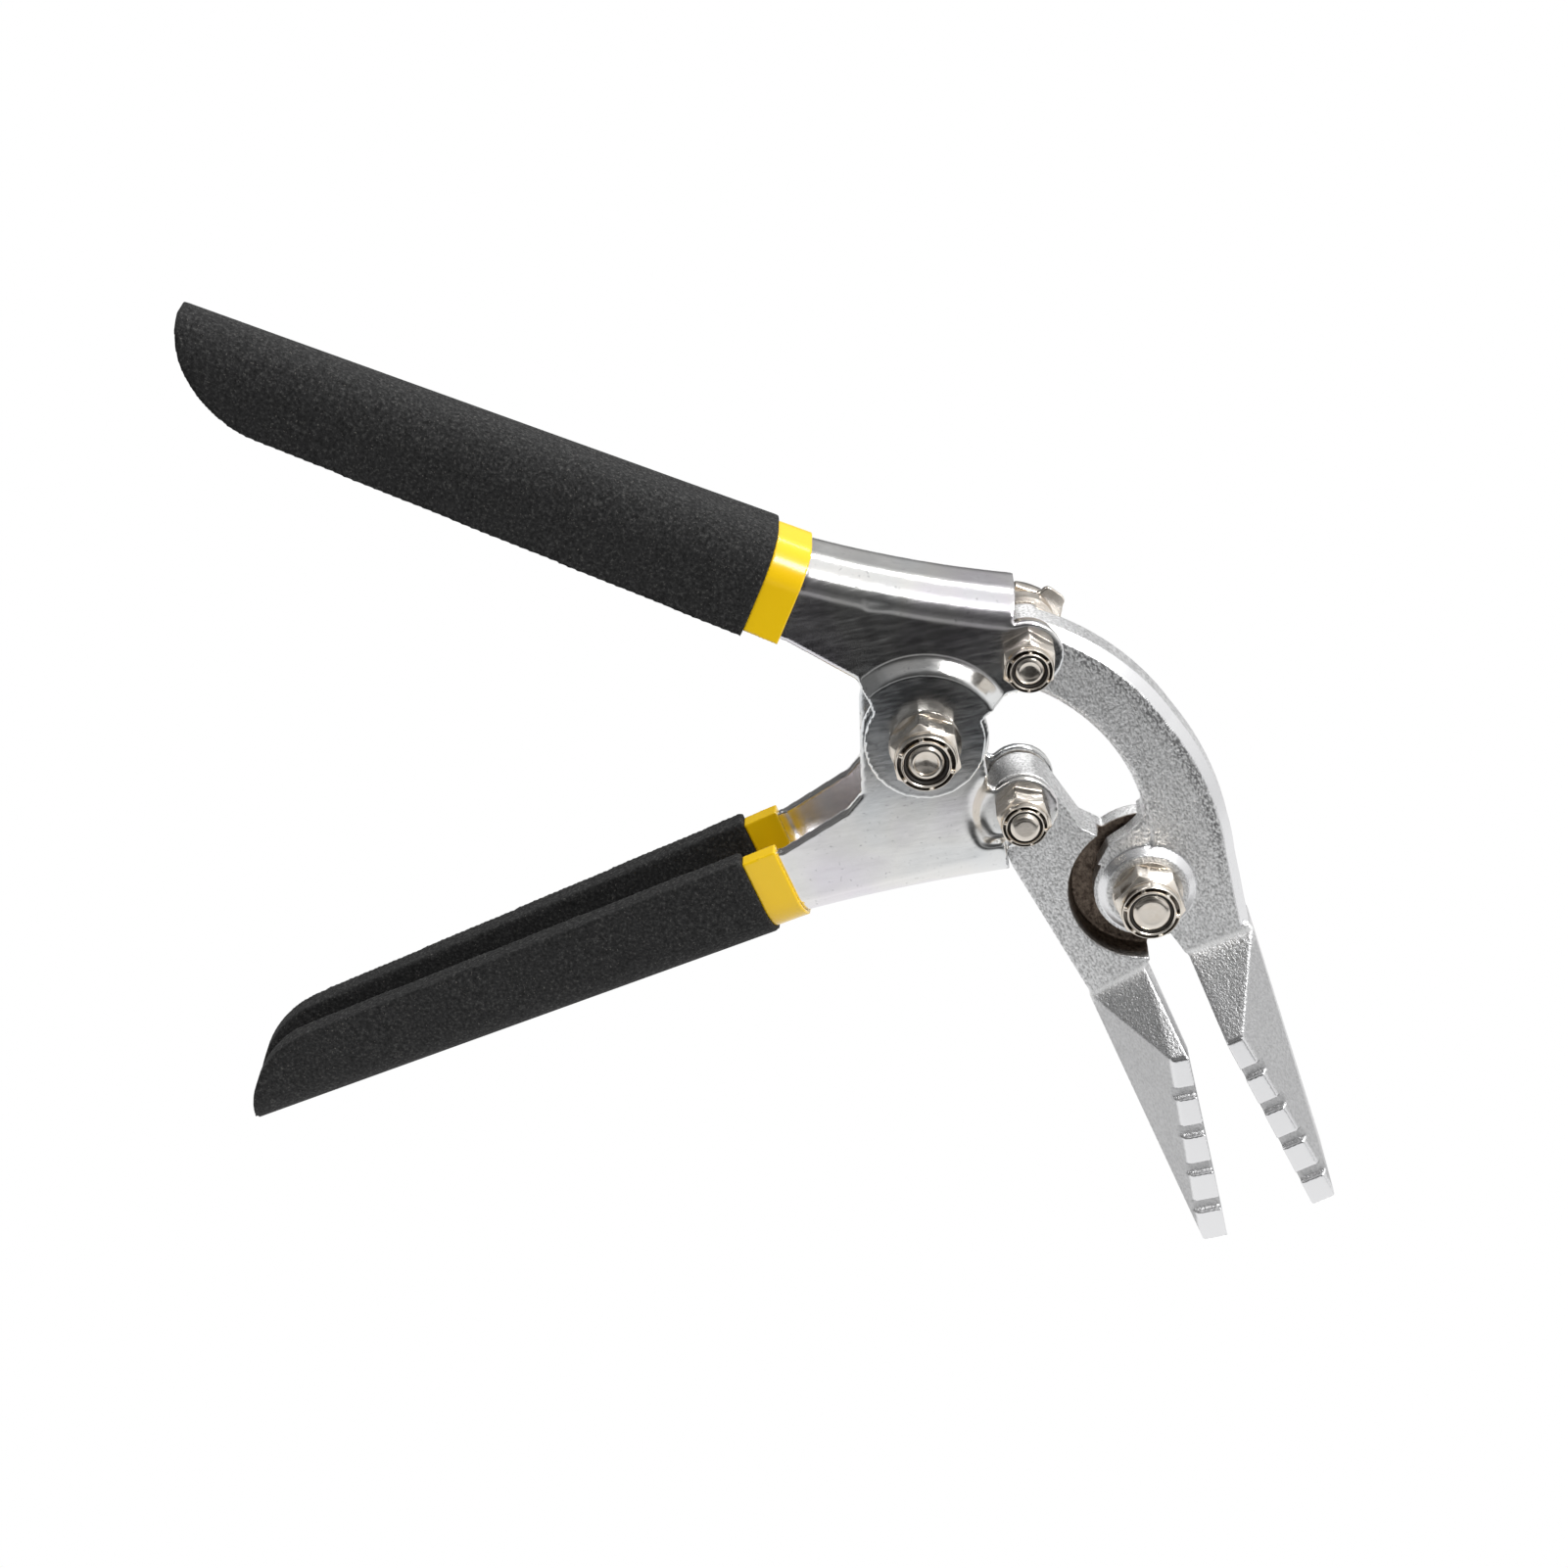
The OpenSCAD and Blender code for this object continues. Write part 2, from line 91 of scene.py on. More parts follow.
cam_data = bpy.data.cameras.new("camera")
cam_data.lens, cam_data.sensor_width = LENS, SENSOR
cam = bpy.data.objects.new("camera", cam_data)
bpy.context.scene.collection.objects.link(cam)
cam.location = CAMERA_PLACE
cam.rotation_euler = CAMERA_TURN.to_euler()
bpy.context.scene.camera = cam
bpy.context.scene.view_settings.view_transform = "Standard"

# ---- materials ----


class Nodes:
    """A new material's node tree, with short ways to add to it."""

    def __init__(self, name, **settings):
        self.mat = bpy.data.materials.new(name)
        self.mat.use_nodes = True
        self.tree = self.mat.node_tree
        self.shader = self.tree.nodes["Principled BSDF"]
        for key, value in settings.items():
            self.shader.inputs[key.replace("_", " ")].default_value = value
        self.place = self.add("ShaderNodeTexCoord").outputs["Object"]

    def add(self, kind, **settings):
        node = self.tree.nodes.new(kind)
        for key, value in settings.items():
            setattr(node, key, value)
        return node

    def link(self, a, b):
        self.tree.links.new(a, b)

    def stretched(self, scale, angles=(0, 0, 0)):
        """The surface's own place, turned and then stretched."""
        turn = self.add("ShaderNodeMapping")
        turn.inputs["Rotation"].default_value = angles
        self.link(self.place, turn.inputs["Vector"])
        stretch = self.add("ShaderNodeMapping")
        stretch.inputs["Scale"].default_value = scale
        self.link(turn.outputs["Vector"], stretch.inputs["Vector"])
        return stretch.outputs["Vector"]

    def noise(self, scale, detail=2.0, rough=0.5, where=None):
        node = self.add("ShaderNodeTexNoise")
        node.inputs["Scale"].default_value = scale
        node.inputs["Detail"].default_value = detail
        node.inputs["Roughness"].default_value = rough
        self.link(where or self.place, node.inputs["Vector"])
        return node.outputs["Fac"]

    def ramp(self, value, *stops):
        node = self.add("ShaderNodeValToRGB")
        ramp = node.color_ramp
        while len(ramp.elements) < len(stops):
            ramp.elements.new(0.5)
        for element, (at, colour) in zip(ramp.elements, stops):
            element.position = at
            element.color = (*colour, 1) if len(colour) == 3 else colour
        self.link(value, node.inputs["Fac"])
        return node.outputs["Color"]

    def range(self, value, low, high, to_low, to_high):
        node = self.add("ShaderNodeMapRange")
        for key, number in (("From Min", low), ("From Max", high),
                            ("To Min", to_low), ("To Max", to_high)):
            node.inputs[key].default_value = number
        self.link(value, node.inputs["Value"])
        return node.outputs["Result"]

    def maths(self, kind, a, b):
        node = self.add("ShaderNodeMath", operation=kind)
        for socket, value in zip(node.inputs, (a, b)):
            if isinstance(value, (int, float)):
                socket.default_value = value
            else:
                self.link(value, socket)
        return node.outputs["Value"]

    def mix(self, fac, a, b, kind="MIX"):
        node = self.add("ShaderNodeMix", data_type="RGBA", blend_type=kind)
        for socket, value in ((node.inputs[0], fac), (node.inputs[6], a), (node.inputs[7], b)):
            if isinstance(value, (int, float)):
                socket.default_value = value
            elif isinstance(value, tuple):
                socket.default_value = (*value, 1)
            else:
                self.link(value, socket)
        return node.outputs[2]

    def mark(self, name):
        """A number that mesh code has written on the vertices."""
        return self.add("ShaderNodeAttribute", attribute_name=name).outputs["Fac"]

    def bump(self, *layers):
        """Bumps on top of each other, each a height, a strength and a depth in millimetres."""
        normal = None
        for height, strength, depth in layers:
            node = self.add("ShaderNodeBump")
            node.inputs["Strength"].default_value = strength
            node.inputs["Distance"].default_value = depth * MM
            self.link(height, node.inputs["Height"])
            if normal:
                self.link(normal, node.inputs["Normal"])
            normal = node.outputs["Normal"]
        self.link(normal, self.shader.inputs["Normal"])

    def wire(self, **sockets):
        for key, value in sockets.items():
            self.link(value, self.shader.inputs[key.replace("_", " ")])


def foam_material():
    n = Nodes("foam", Specular_IOR_Level=0.35)
    cells = n.noise(1500, 3, 0.65)
    coarse = n.noise(420, 2, 0.6)
    fleck = n.range(n.noise(2600, 1, 0.5), 0.68, 0.78, 0, 0.6)
    base = n.ramp(cells, (0.3, (0.0035, 0.0035, 0.0036)), (0.55, (0.018, 0.018, 0.0182)),
                  (0.8, (0.075, 0.074, 0.071)))
    n.wire(Base_Color=n.mix(fleck, base, (0.19, 0.18, 0.165)),
           Roughness=n.range(cells, 0.3, 0.8, 0.95, 0.7))
    n.bump((coarse, 0.35, 0.5), (cells, 0.75, 0.35))
    return n.mat


def band_material():
    n = Nodes("yellow", Roughness=0.24, Specular_IOR_Level=0.5, Coat_Weight=0.3,
              Coat_Roughness=0.12)
    tone = n.noise(45, 3)
    n.wire(Base_Color=n.ramp(tone, (0.3, (0.94, 0.58, 0.003)), (0.7, (0.98, 0.63, 0.005))))
    n.bump((n.noise(320, 2), 0.06, 0.3))
    return n.mat


def chrome_material():
    """Bright zinc plate: fine scratches, soft dents and a trace of rainbow."""
    n = Nodes("chrome", Metallic=1.0)
    scratch = n.noise(1500, 3, 0.6, n.stretched((0.15, 1, 1), (0, math.radians(18), 0)))
    cross = n.noise(1100, 3, 0.6, n.stretched((1, 1, 0.2), (0, math.radians(-32), 0)))
    cloud = n.noise(70, 4, 0.6)
    film = n.ramp(n.noise(38, 2, 0.5), (0.3, (0.80, 0.83, 0.86)), (0.5, (0.87, 0.86, 0.84)),
                  (0.6, (0.83, 0.80, 0.84)), (0.75, (0.80, 0.85, 0.85)))
    specks = n.range(n.noise(1100, 2, 0.6), 0.64, 0.72, 0, 1)
    shade = n.mix(n.maths("MULTIPLY", specks, 0.35), film, (0.33, 0.33, 0.34))
    rough = n.maths("ADD", n.range(scratch, 0.35, 0.75, 0.12, 0.19),
                    n.range(cloud, 0.35, 0.7, 0.0, 0.08))
    n.wire(Base_Color=shade, Roughness=rough)
    n.bump((cloud, 0.03, 0.5), (scratch, 0.04, 0.08), (cross, 0.04, 0.08))
    return n.mat


def forged_material():
    """Plated forging: pebbly blasted faces, smoother where it is ground or worn."""
    n = Nodes("forged", Metallic=1.0)
    grain = n.noise(2500, 3, 0.62, n.stretched((1, 1, 0.55), (0, math.radians(35), 0)))
    pebble = n.noise(1150, 2, 0.55)
    cloud = n.noise(90, 3, 0.6)
    fine = n.noise(2600, 2, 0.6, n.stretched((0.07, 1, 1), (0, math.radians(-14), 0)))
    bright, recess_shade = n.mark("bright"), n.mark("recess_shade")
    dull = n.ramp(grain, (0.34, (0.40, 0.40, 0.40)), (0.5, (0.72, 0.72, 0.722)),
                  (0.64, (0.93, 0.93, 0.935)))
    # Darker speckles in a band in from the outer chamfer
    speckle_mask = n.maths("MULTIPLY", n.mark("dark_speckles"), n.range(grain, 0.42, 0.56, 1, 0))
    dark_speckles = n.mix(speckle_mask, dull, (0.16, 0.16, 0.165))
    # Painted shade: the flank beside the crease is darkened
    flank_shade = n.mix(n.mark("flank_shade"), dark_speckles, (0.50, 0.50, 0.505))
    # Painted highlight: the crease's real ridge of flash is lightened in colour and made rougher
    ridge = n.mark("ridge")
    lit = n.mix(ridge, flank_shade, (0.97, 0.97, 0.97))
    clean = n.mix(bright, lit, (0.88, 0.88, 0.89))
    # Painted shade, in brown, in the recess round the jaw bolt
    brown = n.ramp(pebble, (0.3, (0.075, 0.055, 0.042)), (0.7, (0.25, 0.20, 0.16)))
    n.wire(Base_Color=n.mix(recess_shade, clean, brown),
           Roughness=n.maths("ADD", n.range(bright, 0, 1, 0.4, 0.22),
                             n.maths("ADD", n.range(cloud, 0.3, 0.7, -0.03, 0.06),
                                     n.range(ridge, 0, 1, 0, 0.2))))
    relief = n.range(bright, 0, 1, 1, 0.18)
    n.bump((n.maths("MULTIPLY", pebble, relief), 0.3, 0.4),
           (n.maths("MULTIPLY", grain, relief), 0.5, 0.3), (fine, 0.05, 0.1))
    return n.mat


def nickel_material():
    n = Nodes("nickel", Metallic=1.0)
    cloud = n.noise(260, 3, 0.6)
    fine = n.noise(1500, 2, 0.6)
    clean = n.ramp(cloud, (0.3, (0.74, 0.67, 0.59)), (0.6, (0.87, 0.81, 0.73)),
                   (0.8, (0.92, 0.88, 0.81)))
    # Painted shade in the sunk windows of the nut's collar
    n.wire(Base_Color=n.mix(n.mark("window_shade"), clean, (0.07, 0.055, 0.045)),
           Roughness=n.range(cloud, 0.3, 0.75, 0.14, 0.3))
    n.bump((cloud, 0.035, 0.3), (fine, 0.05, 0.1))
    return n.mat


def dark_material(name, colour, rough):
    n = Nodes(name, Specular_IOR_Level=0.4)
    tone = n.noise(600, 3, 0.6)
    n.wire(Base_Color=n.ramp(tone, (0.3, tuple(0.6 * c for c in colour)), (0.75, colour)),
           Roughness=n.range(tone, 0.3, 0.7, rough, rough + 0.15))
    n.bump((tone, 0.25, 0.2))
    return n.mat


def steel_material():
    n = Nodes("plain_steel", Metallic=1.0)
    fine = n.noise(900, 3, 0.6, n.stretched((1, 0.1, 1)))
    n.wire(Base_Color=n.ramp(fine, (0.3, (0.36, 0.36, 0.37)), (0.7, (0.62, 0.62, 0.63))),
           Roughness=n.range(fine, 0.3, 0.7, 0.25, 0.4))
    n.bump((fine, 0.1, 0.1))
    return n.mat


FOAM, YELLOW, CHROME = foam_material(), band_material(), chrome_material()
FORGED, NICKEL, STEEL = forged_material(), nickel_material(), steel_material()
RING = dark_material("lock_ring", (0.035, 0.03, 0.026), 0.4)

# ---- mesh work ----


def new_piece(name, mesh, mat, body, slot, *nodes, sharp=0):
    """An object that rides on a body and stands for CAD nodes."""
    obj = bpy.data.objects.new(name, mesh)
    bpy.context.scene.collection.objects.link(obj)
    mesh.materials.clear()
    mesh.materials.append(mat)
    mesh.polygons.foreach_set("use_smooth", np.ones(len(mesh.polygons), bool))
    mesh.polygons.foreach_set("material_index", np.zeros(len(mesh.polygons), np.int32))
    if sharp:
        mesh.set_sharp_from_angle(angle=math.radians(sharp))
    mesh.update()
    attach(obj, body)
    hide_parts(*nodes)
    return obj


def remeshed(node, voxel):
    """A closed even mesh over a CAD node, with a voxel of that many millimetres."""
    mesh = frame["nodes"][node].data.copy()
    bm = bmesh.new()
    bm.from_mesh(mesh)
    bmesh.ops.remove_doubles(bm, verts=bm.verts, dist=2e-6)
    bm.to_mesh(mesh)
    bm.free()
    obj = bpy.data.objects.new("work", mesh)
    bpy.context.scene.collection.objects.link(obj)
    modifier = obj.modifiers.new("remesh", "REMESH")
    modifier.mode, modifier.voxel_size, modifier.adaptivity = "VOXEL", voxel * MM, 0
    made = bpy.data.meshes.new_from_object(
        obj.evaluated_get(bpy.context.evaluated_depsgraph_get()))
    bpy.data.objects.remove(obj)
    return made


def coords(mesh):
    co = np.empty(len(mesh.vertices) * 3, np.float32)
    mesh.vertices.foreach_get("co", co)
    return untool(co.reshape(-1, 3).astype(float) / MM)


def set_coords(mesh, points):
    mesh.vertices.foreach_set("co", (tool(points) * MM).astype(np.float32).ravel())


def edges_of(mesh):
    pairs = np.empty(len(mesh.edges) * 2, np.int32)
    mesh.edges.foreach_get("vertices", pairs)
    return pairs.reshape(-1, 2)


def relax(points, pairs, rounds, weight=None, keep=0.53):
    """Smooths points along edges; the second half step gives back the lost volume."""
    count = len(points)
    degree = np.bincount(pairs.ravel(), minlength=count)[:, None]
    for half in range(2 * rounds):
        total = np.zeros_like(points)
        for axis in range(3):
            total[:, axis] = (np.bincount(pairs[:, 0], points[pairs[:, 1], axis], count)
                              + np.bincount(pairs[:, 1], points[pairs[:, 0], axis], count))
        shift = (total / np.maximum(degree, 1) - points) * (0.5 if half % 2 == 0 else -keep)
        points = points + (shift if weight is None else shift * weight[:, None])
    return points


def mark(mesh, name, values):
    """Writes a number for each vertex, which the materials read."""
    layer = mesh.attributes.new(name, "FLOAT", "POINT")
    layer.data.foreach_set("value", values.astype(np.float32))


def step(x, low, high):
    """Runs smoothly from 0 at low to 1 at high."""
    t = np.clip((x - low) / (high - low), 0, 1)
    return t * t * (3 - 2 * t)


def refine(node, body, voxel, mat, slot, rounds=3, shape=None):
    """The node's shape with worn edges and, from shape(), its finer forms and marks."""
    mesh = remeshed(node, voxel)
    pairs = edges_of(mesh)
    points = relax(coords(mesh), pairs, rounds)
    if shape:
        points = shape(mesh, points, pairs)
    set_coords(mesh, points)
    return new_piece(node + "_skin", mesh, mat, body, slot, node)


# ---- jaws ----

# Half the jaw's thickness, the arm's circles, its shoulder and the top of the bosses
JAW = 5.0
ARM, ARM_OUT, ARM_IN = np.array([6, -29]), 54.8, 41.0
SHOULDER, SHOULDER_R = np.array([-0.65, -39.5]), 66.5
BOSS_TOP = 6.5
BOSS_FOOT_R, BOSS_TOP_R, BOSS_WALL_R = 10.3, 8.6, 9.2
# Size of the two chamfers of the arm, and where the arm runs into the hub
OUTER_CHAMFER, INNER_CHAMFER = 2.0, 0.9
NECK = np.array([47.3, -19.3])
# Start of the straight outer edge below the arm, and its outward direction
EDGE_START, EDGE_OUT = np.array([64.7, -27.4]), np.array([0.9717, 0.2366])


def bevel(points, depth, near, far, size):
    """Cuts a 45 degree chamfer of that size where depth, the distance in from a side
    wall along near (a unit vector per point), meets the flat faces."""
    for side in (1, -1):
        over = side * points[:, 2] - depth - (JAW - size)
        hit = far & (over > 0) & (depth > -0.6) & (depth < size + 0.5) & (
            side * points[:, 2] < JAW + 0.4)
        push = np.where(hit, over / 2, 0)
        points[:, 2] -= side * push
        points[:, :2] += near * push[:, None]
        depth = depth + push
    return points


def round_boss(points, side):
    """Turns the boss's wall into a sloping fillet between its foot and its top."""
    flat = points[:, :2] - D
    r = np.hypot(*flat.T)
    z = side * points[:, 2]
    wide, top = BOSS_FOOT_R, BOSS_TOP_R
    rise = BOSS_TOP - JAW
    normal = np.array([rise, wide - top]) / math.hypot(rise, wide - top)
    over = (r - wide) * normal[0] + (z - JAW) * normal[1]
    hit = (z > JAW - 0.15) & (r < wide) & (r > top - 0.5) & ((over > 0) | (r > BOSS_WALL_R))
    push = np.where(hit, over, 0)
    scale = np.where(hit, (r - push * normal[0]) / np.maximum(r, 0.1), 1)
    points[:, :2] = D + flat * scale[:, None]
    points[:, 2] = side * np.where(hit, z - push * normal[1], z)
    return points


def arm_edge(p):
    """Distance in from the jaw's outer edge, and the direction inwards, at each point."""
    away, away2 = p[:, :2] - ARM, p[:, :2] - SHOULDER
    r, r2 = np.hypot(*away.T), np.hypot(*away2.T)
    arm, shoulder = ARM_OUT - r, SHOULDER_R - r2
    straight = (EDGE_START - p[:, :2]) @ EDGE_OUT
    inward = -away / np.maximum(r, 1)[:, None]
    depth = arm.copy()
    for other, way, where in (
            (shoulder, -away2 / np.maximum(r2, 1)[:, None], p[:, 0] > 44),
            (straight, np.broadcast_to(-EDGE_OUT, inward.shape), p[:, 1] < EDGE_START[1])):
        better = where & (other > depth)
        depth = np.where(better, other, depth)
        inward = np.where(better[:, None], way, inward)
    return depth, inward


def outer_shape(mesh, p, pairs):
    """Chamfers, boss and crease of the outer jaw, its finishes and its painted shade and highlight.
    """
    away = p[:, :2] - ARM
    r = np.hypot(*away.T)
    angle = np.degrees(np.arctan2(away[:, 1], away[:, 0]))
    depth, inward = arm_edge(p)
    along, _ = plate_place(p, "outer")
    on_edge = (angle < 72.5) & (angle > -30) & (along < 17.2) & (p[:, 0] > 20)
    p = bevel(p, depth, inward, on_edge & (depth < 4), OUTER_CHAMFER)
    p = bevel(p, r - ARM_IN, away / np.maximum(r, 1)[:, None],
              (angle > -4) & (angle < 72), INNER_CHAMFER)
    neck = step(-np.hypot(*(p[:, :2] - NECK).T), -5.0, -3.0)
    p = relax(p, pairs, 40, neck, 0.45)
    p = round_boss(p, 1)
    p = crease_ridge(p, pairs, "outer", 0.25)
    depth, _ = arm_edge(p)
    chamfer = on_edge * step(-depth, -2.15, -1.85) * step(np.abs(p[:, 2]), 2.7, 3.1)
    boss = np.hypot(*(p[:, :2] - D).T)
    rim = step(-np.abs(boss - 9.45), -1.1, -0.7) * step(p[:, 2], 4.9, 5.2)
    mark(mesh, "bright", np.clip(np.maximum(chamfer, rim) + plate_bright(p, "outer"), 0, 1))
    # Painted shade in the recess round the jaw bolt
    mark(mesh, "recess_shade", 0.8 * step(-boss, -15.8, -14.8) * step(-p[:, 2], -0.4, 0.6))
    # Painted shade on the flank
    mark(mesh, "flank_shade", plate_flank_shade(p, "outer"))
    # Painted highlight along the crease
    mark(mesh, "ridge", plate_ridge_highlight(p, "outer"))
    # A band of darker speckles a little in from the chamfer
    dark_speckles = on_edge * np.exp(-((depth - 3.2) / 1.6) ** 2) * step(p[:, 2], 4.5, 4.9)
    mark(mesh, "dark_speckles", 0.75 * dark_speckles * step(angle, -12, 8))
    return p


# Direction of each gripping plate, and which way its depth runs
PLATES = {"outer": (math.radians(-62.3), 1), "inner": (math.radians(-76.2), -1)}
# Ends of each crease: distance along the plate and depth
CREASES = {"outer": ((17.6, 1.2), (18.3, 15.7)), "inner": ((18, 4.0), (22, 16.5))}
# Height above which a plate's notched edge is worn bright, and where that edge starts
WORN_Z, WORN_START = 17.2, 33
CREASE_RISE = 0.14


def plate_place(p, which):
    """Distance along the plate from the jaw bolt, and depth in from its gripping face."""
    angle, hand = PLATES[which]
    away = p[:, :2] - D
    along = away @ np.array([math.cos(angle), math.sin(angle)])
    deep = hand * (away @ np.array([-math.sin(angle), math.cos(angle)]))
    return along, deep


def plate_bright(p, which):
    """The worn notched edge."""
    along, _ = plate_place(p, which)
    return step(p[:, 2], WORN_Z, WORN_Z + 0.5) * step(along, WORN_START, WORN_START + 1)


def plate_ridge_highlight(p, which):
    """Painted highlight: the bright line along the crease."""
    crease = plate_crease(p, which)
    return np.exp(-((crease - 0.1) / 0.8) ** 2) * step(p[:, 2], 4, 4.8)


def plate_flank_shade(p, which):
    """Painted shade on the flank that leans out from the crease to the notched edge."""
    flank = step(plate_crease(p, which), 0.2, 4.0) * step(p[:, 2], 4.9, 5.6)
    return 0.75 * flank * step(-p[:, 2], -WORN_Z - 0.4, -WORN_Z)


def plate_crease(p, which):
    """Distance past the crease where the plate leaves the jaw's flat face."""
    along, deep = plate_place(p, which)
    (s0, d0), (s1, d1) = CREASES[which]
    length = math.hypot(s1 - s0, d1 - d0)
    return ((along - s0) * (d1 - d0) - (deep - d0) * (s1 - s0)) / length


def crease_ridge(p, pairs, which, rest):
    """A filleted crease with a low ridge of forging flash along it."""
    near = step(p[:, 2], 3, 4)
    soft = step(-np.abs(plate_crease(p, which)), -2.2, -1.0) * near
    p = relax(p, pairs, 6, np.full(len(p), rest), 0.5)
    p = relax(p, pairs, 24, soft, 0.5)
    ridge = np.exp(-((plate_crease(p, which) + 0.1) / 0.55) ** 2) * near
    p[:, 2] += CREASE_RISE * ridge * (p[:, 2] < 8)
    return p


def inner_shape(mesh, p, pairs):
    """Boss and crease of the inner jaw, its finishes and its painted shade and highlight."""
    p = round_boss(p, -1)
    p = crease_ridge(p, pairs, "inner", 0.15)
    boss = np.hypot(*(p[:, :2] - D).T)
    mark(mesh, "bright", plate_bright(p, "inner"))
    # Painted shade in the recess round the jaw bolt
    mark(mesh, "recess_shade", step(-boss, -16.6, -15.9) * step(-p[:, 2], -5.1, -4.7)
         * step(p[:, 2], -0.9, -0.5))
    # Painted shade on the flank
    mark(mesh, "flank_shade", plate_flank_shade(p, "inner"))
    # Painted highlight along the crease
    mark(mesh, "ridge", plate_ridge_highlight(p, "inner"))
    return p


refine("outer_jaw", "outer_jaw", 0.36, FORGED, "forged_steel", 2, outer_shape)
refine("inner_jaw", "inner_jaw", 0.36, FORGED, "forged_steel", 2, inner_shape)

# ---- channels, grips and bands ----


def channel_shape(mesh, p, pairs):
    """Melts the pressed step round the rear bolt into a soft S."""
    r = np.hypot(p[:, 0], p[:, 1])
    soft = step(r, 12.5, 14) * step(-r, -22, -19.5) * step(np.abs(p[:, 2]), 6.5, 7.5)
    return relax(p, pairs, 14, soft, 0.5)


def pinch_shape(mesh, p, pairs):
    """Melts the pressed step round the lower bolt."""
    r = np.hypot(*(p[:, :2] - C).T)
    soft = step(r, 6.6, 8) * step(-r, -15, -12) * step(np.abs(p[:, 2]), 5, 6)
    return relax(p, pairs, 90, soft, 0.5)


refine("upper_channel", "upper_handle", 0.42, CHROME, "channel_plate", 3, channel_shape)
refine("lower_channel", "lower_handle", 0.42, CHROME, "channel_plate", 3, pinch_shape)
for hand in ("upper", "lower"):
    body = hand + "_handle"
    grip = refine(hand + "_grip", body, 0.6, FOAM, "grip_foam", 4)
    refine(hand + "_band", body, 0.26, YELLOW, "band_plastic", 2)
refine("latch", "latch", 0.24, NICKEL, "nickel", 2)

# ---- nuts and bolts ----

# Gap between a bolt and its nut's bore, and a bolt head's height for each millimetre of
# thread diameter
RUNNING, HEAD_RATIO = 0.05, 0.62
# A bolt's thread shows as a few grooves below its tip
GROOVES, GROOVE_PITCH, GROOVE_DEPTH = 3, 0.32, 0.22
RING_SIDES, NUT_SIDES = 96, 240


def hexagon_r(angle, flats):
    """Distance from the middle of a hexagon of that size to its edge at an angle."""
    turn = (angle + math.pi / 6) % (math.pi / 3) - math.pi / 6
    return flats / 2 / np.cos(turn)


def polar_mesh(name, rings, sides, centre, turn=0.0):
    """A closed mesh from rings, each a function of the angle that gives radius and height."""
    angles = np.linspace(0, 2 * math.pi, sides, endpoint=False)
    rows = []
    for ring in rings:
        r, z = ring(angles)
        a = angles + turn
        rows.append(np.c_[centre[0] + r * np.cos(a), centre[1] + r * np.sin(a),
                          np.broadcast_to(z, r.shape) + centre[2]])
    points = np.vstack(rows)
    faces = []
    for i in range(len(rows) - 1):
        for k in range(sides):
            k2 = (k + 1) % sides
            faces.append((i * sides + k, i * sides + k2, (i + 1) * sides + k2, (i + 1) * sides + k))
    first, last = len(points), len(points) + 1
    points = np.vstack([points, rows[0].mean(0), rows[-1].mean(0)])
    top = (len(rows) - 1) * sides
    for k in range(sides):
        k2 = (k + 1) % sides
        faces.append((first, k2, k))
        faces.append((last, top + k, top + k2))
    mesh = bpy.data.meshes.new(name)
    mesh.from_pydata((tool(points) * MM).tolist(), [], faces)
    bm = bmesh.new()
    bm.from_mesh(mesh)
    bmesh.ops.recalc_face_normals(bm, faces=bm.faces)
    bm.to_mesh(mesh)
    bm.free()
    return mesh


def nut_rings(flats, bore, height, foot):
    """Hexagon on a round foot, with a collar whose top has six windows between ribs."""
    hex_h = 0.68 * height
    top = height - 0.15

    def at(r, z, window=0.0):
        """A circle at a share of the flats, sunk between the ribs by window."""
        def ring(a):
            rib = np.exp(-(((a % (math.pi / 3)) - math.pi / 6) / 0.12) ** 4)
            return np.full_like(a, r * flats), z - window * (1 - rib)
        return ring

    def hexa(share, z, slope=0.0):
        def ring(a):
            r = np.minimum(hexagon_r(a, flats), 0.573 * flats)
            return share * r, z - slope * (r - 0.49 * flats)
        return ring

    share = bore / flats
    low = [at(share, 0.0), at(0.56, 0.0), at(0.565, 0.25), at(0.56, 0.7), at(0.5, 0.8)] \
        if foot else [at(share, 0.0), at(0.47, 0.0)]
    start = 0.85 if foot else 0.05
    return low + [
        hexa(0.97, start), hexa(0.992, start + 0.12), hexa(1.0, start + 0.35),
        hexa(1.0, hex_h - 0.22, 0.6), hexa(0.992, hex_h - 0.1, 0.6), hexa(0.975, hex_h, 0.6),
        at(0.483, hex_h + 0.04), at(0.474, hex_h + 0.02), at(0.466, hex_h + 0.12),
        at(0.466, top - 0.85), at(0.462, top - 0.6), at(0.452, top - 0.48),
        at(0.445, top - 0.48), at(0.441, top - 0.52, 0.3), at(0.438, top - 0.5, 1.1),
        at(0.401, top - 0.35, 1.2), at(0.396, top - 0.3, 0.35), at(0.392, top - 0.24),
        at(0.384, top - 0.06), at(0.376, top), at(0.364, top - 0.03), at(0.355, top - 0.15),
        at(0.35, top - 0.5), at(0.35, top - 1.6), at(share, top - 1.6),
    ]


def ring_piece(name, rings, sides, centre, turn, mat, body, slot, node):
    """A polar mesh open at the middle: its first and last rings are joined."""
    mesh = polar_mesh(name, rings, sides, centre, turn)
    bm = bmesh.new()
    bm.from_mesh(mesh)
    bm.verts.ensure_lookup_table()
    bmesh.ops.delete(bm, geom=bm.verts[-2:], context="VERTS")
    open_edges = [e for e in bm.edges if e.is_boundary]
    bmesh.ops.bridge_loops(bm, edges=open_edges)
    bmesh.ops.recalc_face_normals(bm, faces=bm.faces)
    bm.to_mesh(mesh)
    bm.free()
    return new_piece(name, mesh, mat, body, slot, node, sharp=24)


def circle(r, z):
    """A plain round ring for polar_mesh."""
    return lambda a: (np.full_like(a, r), z)


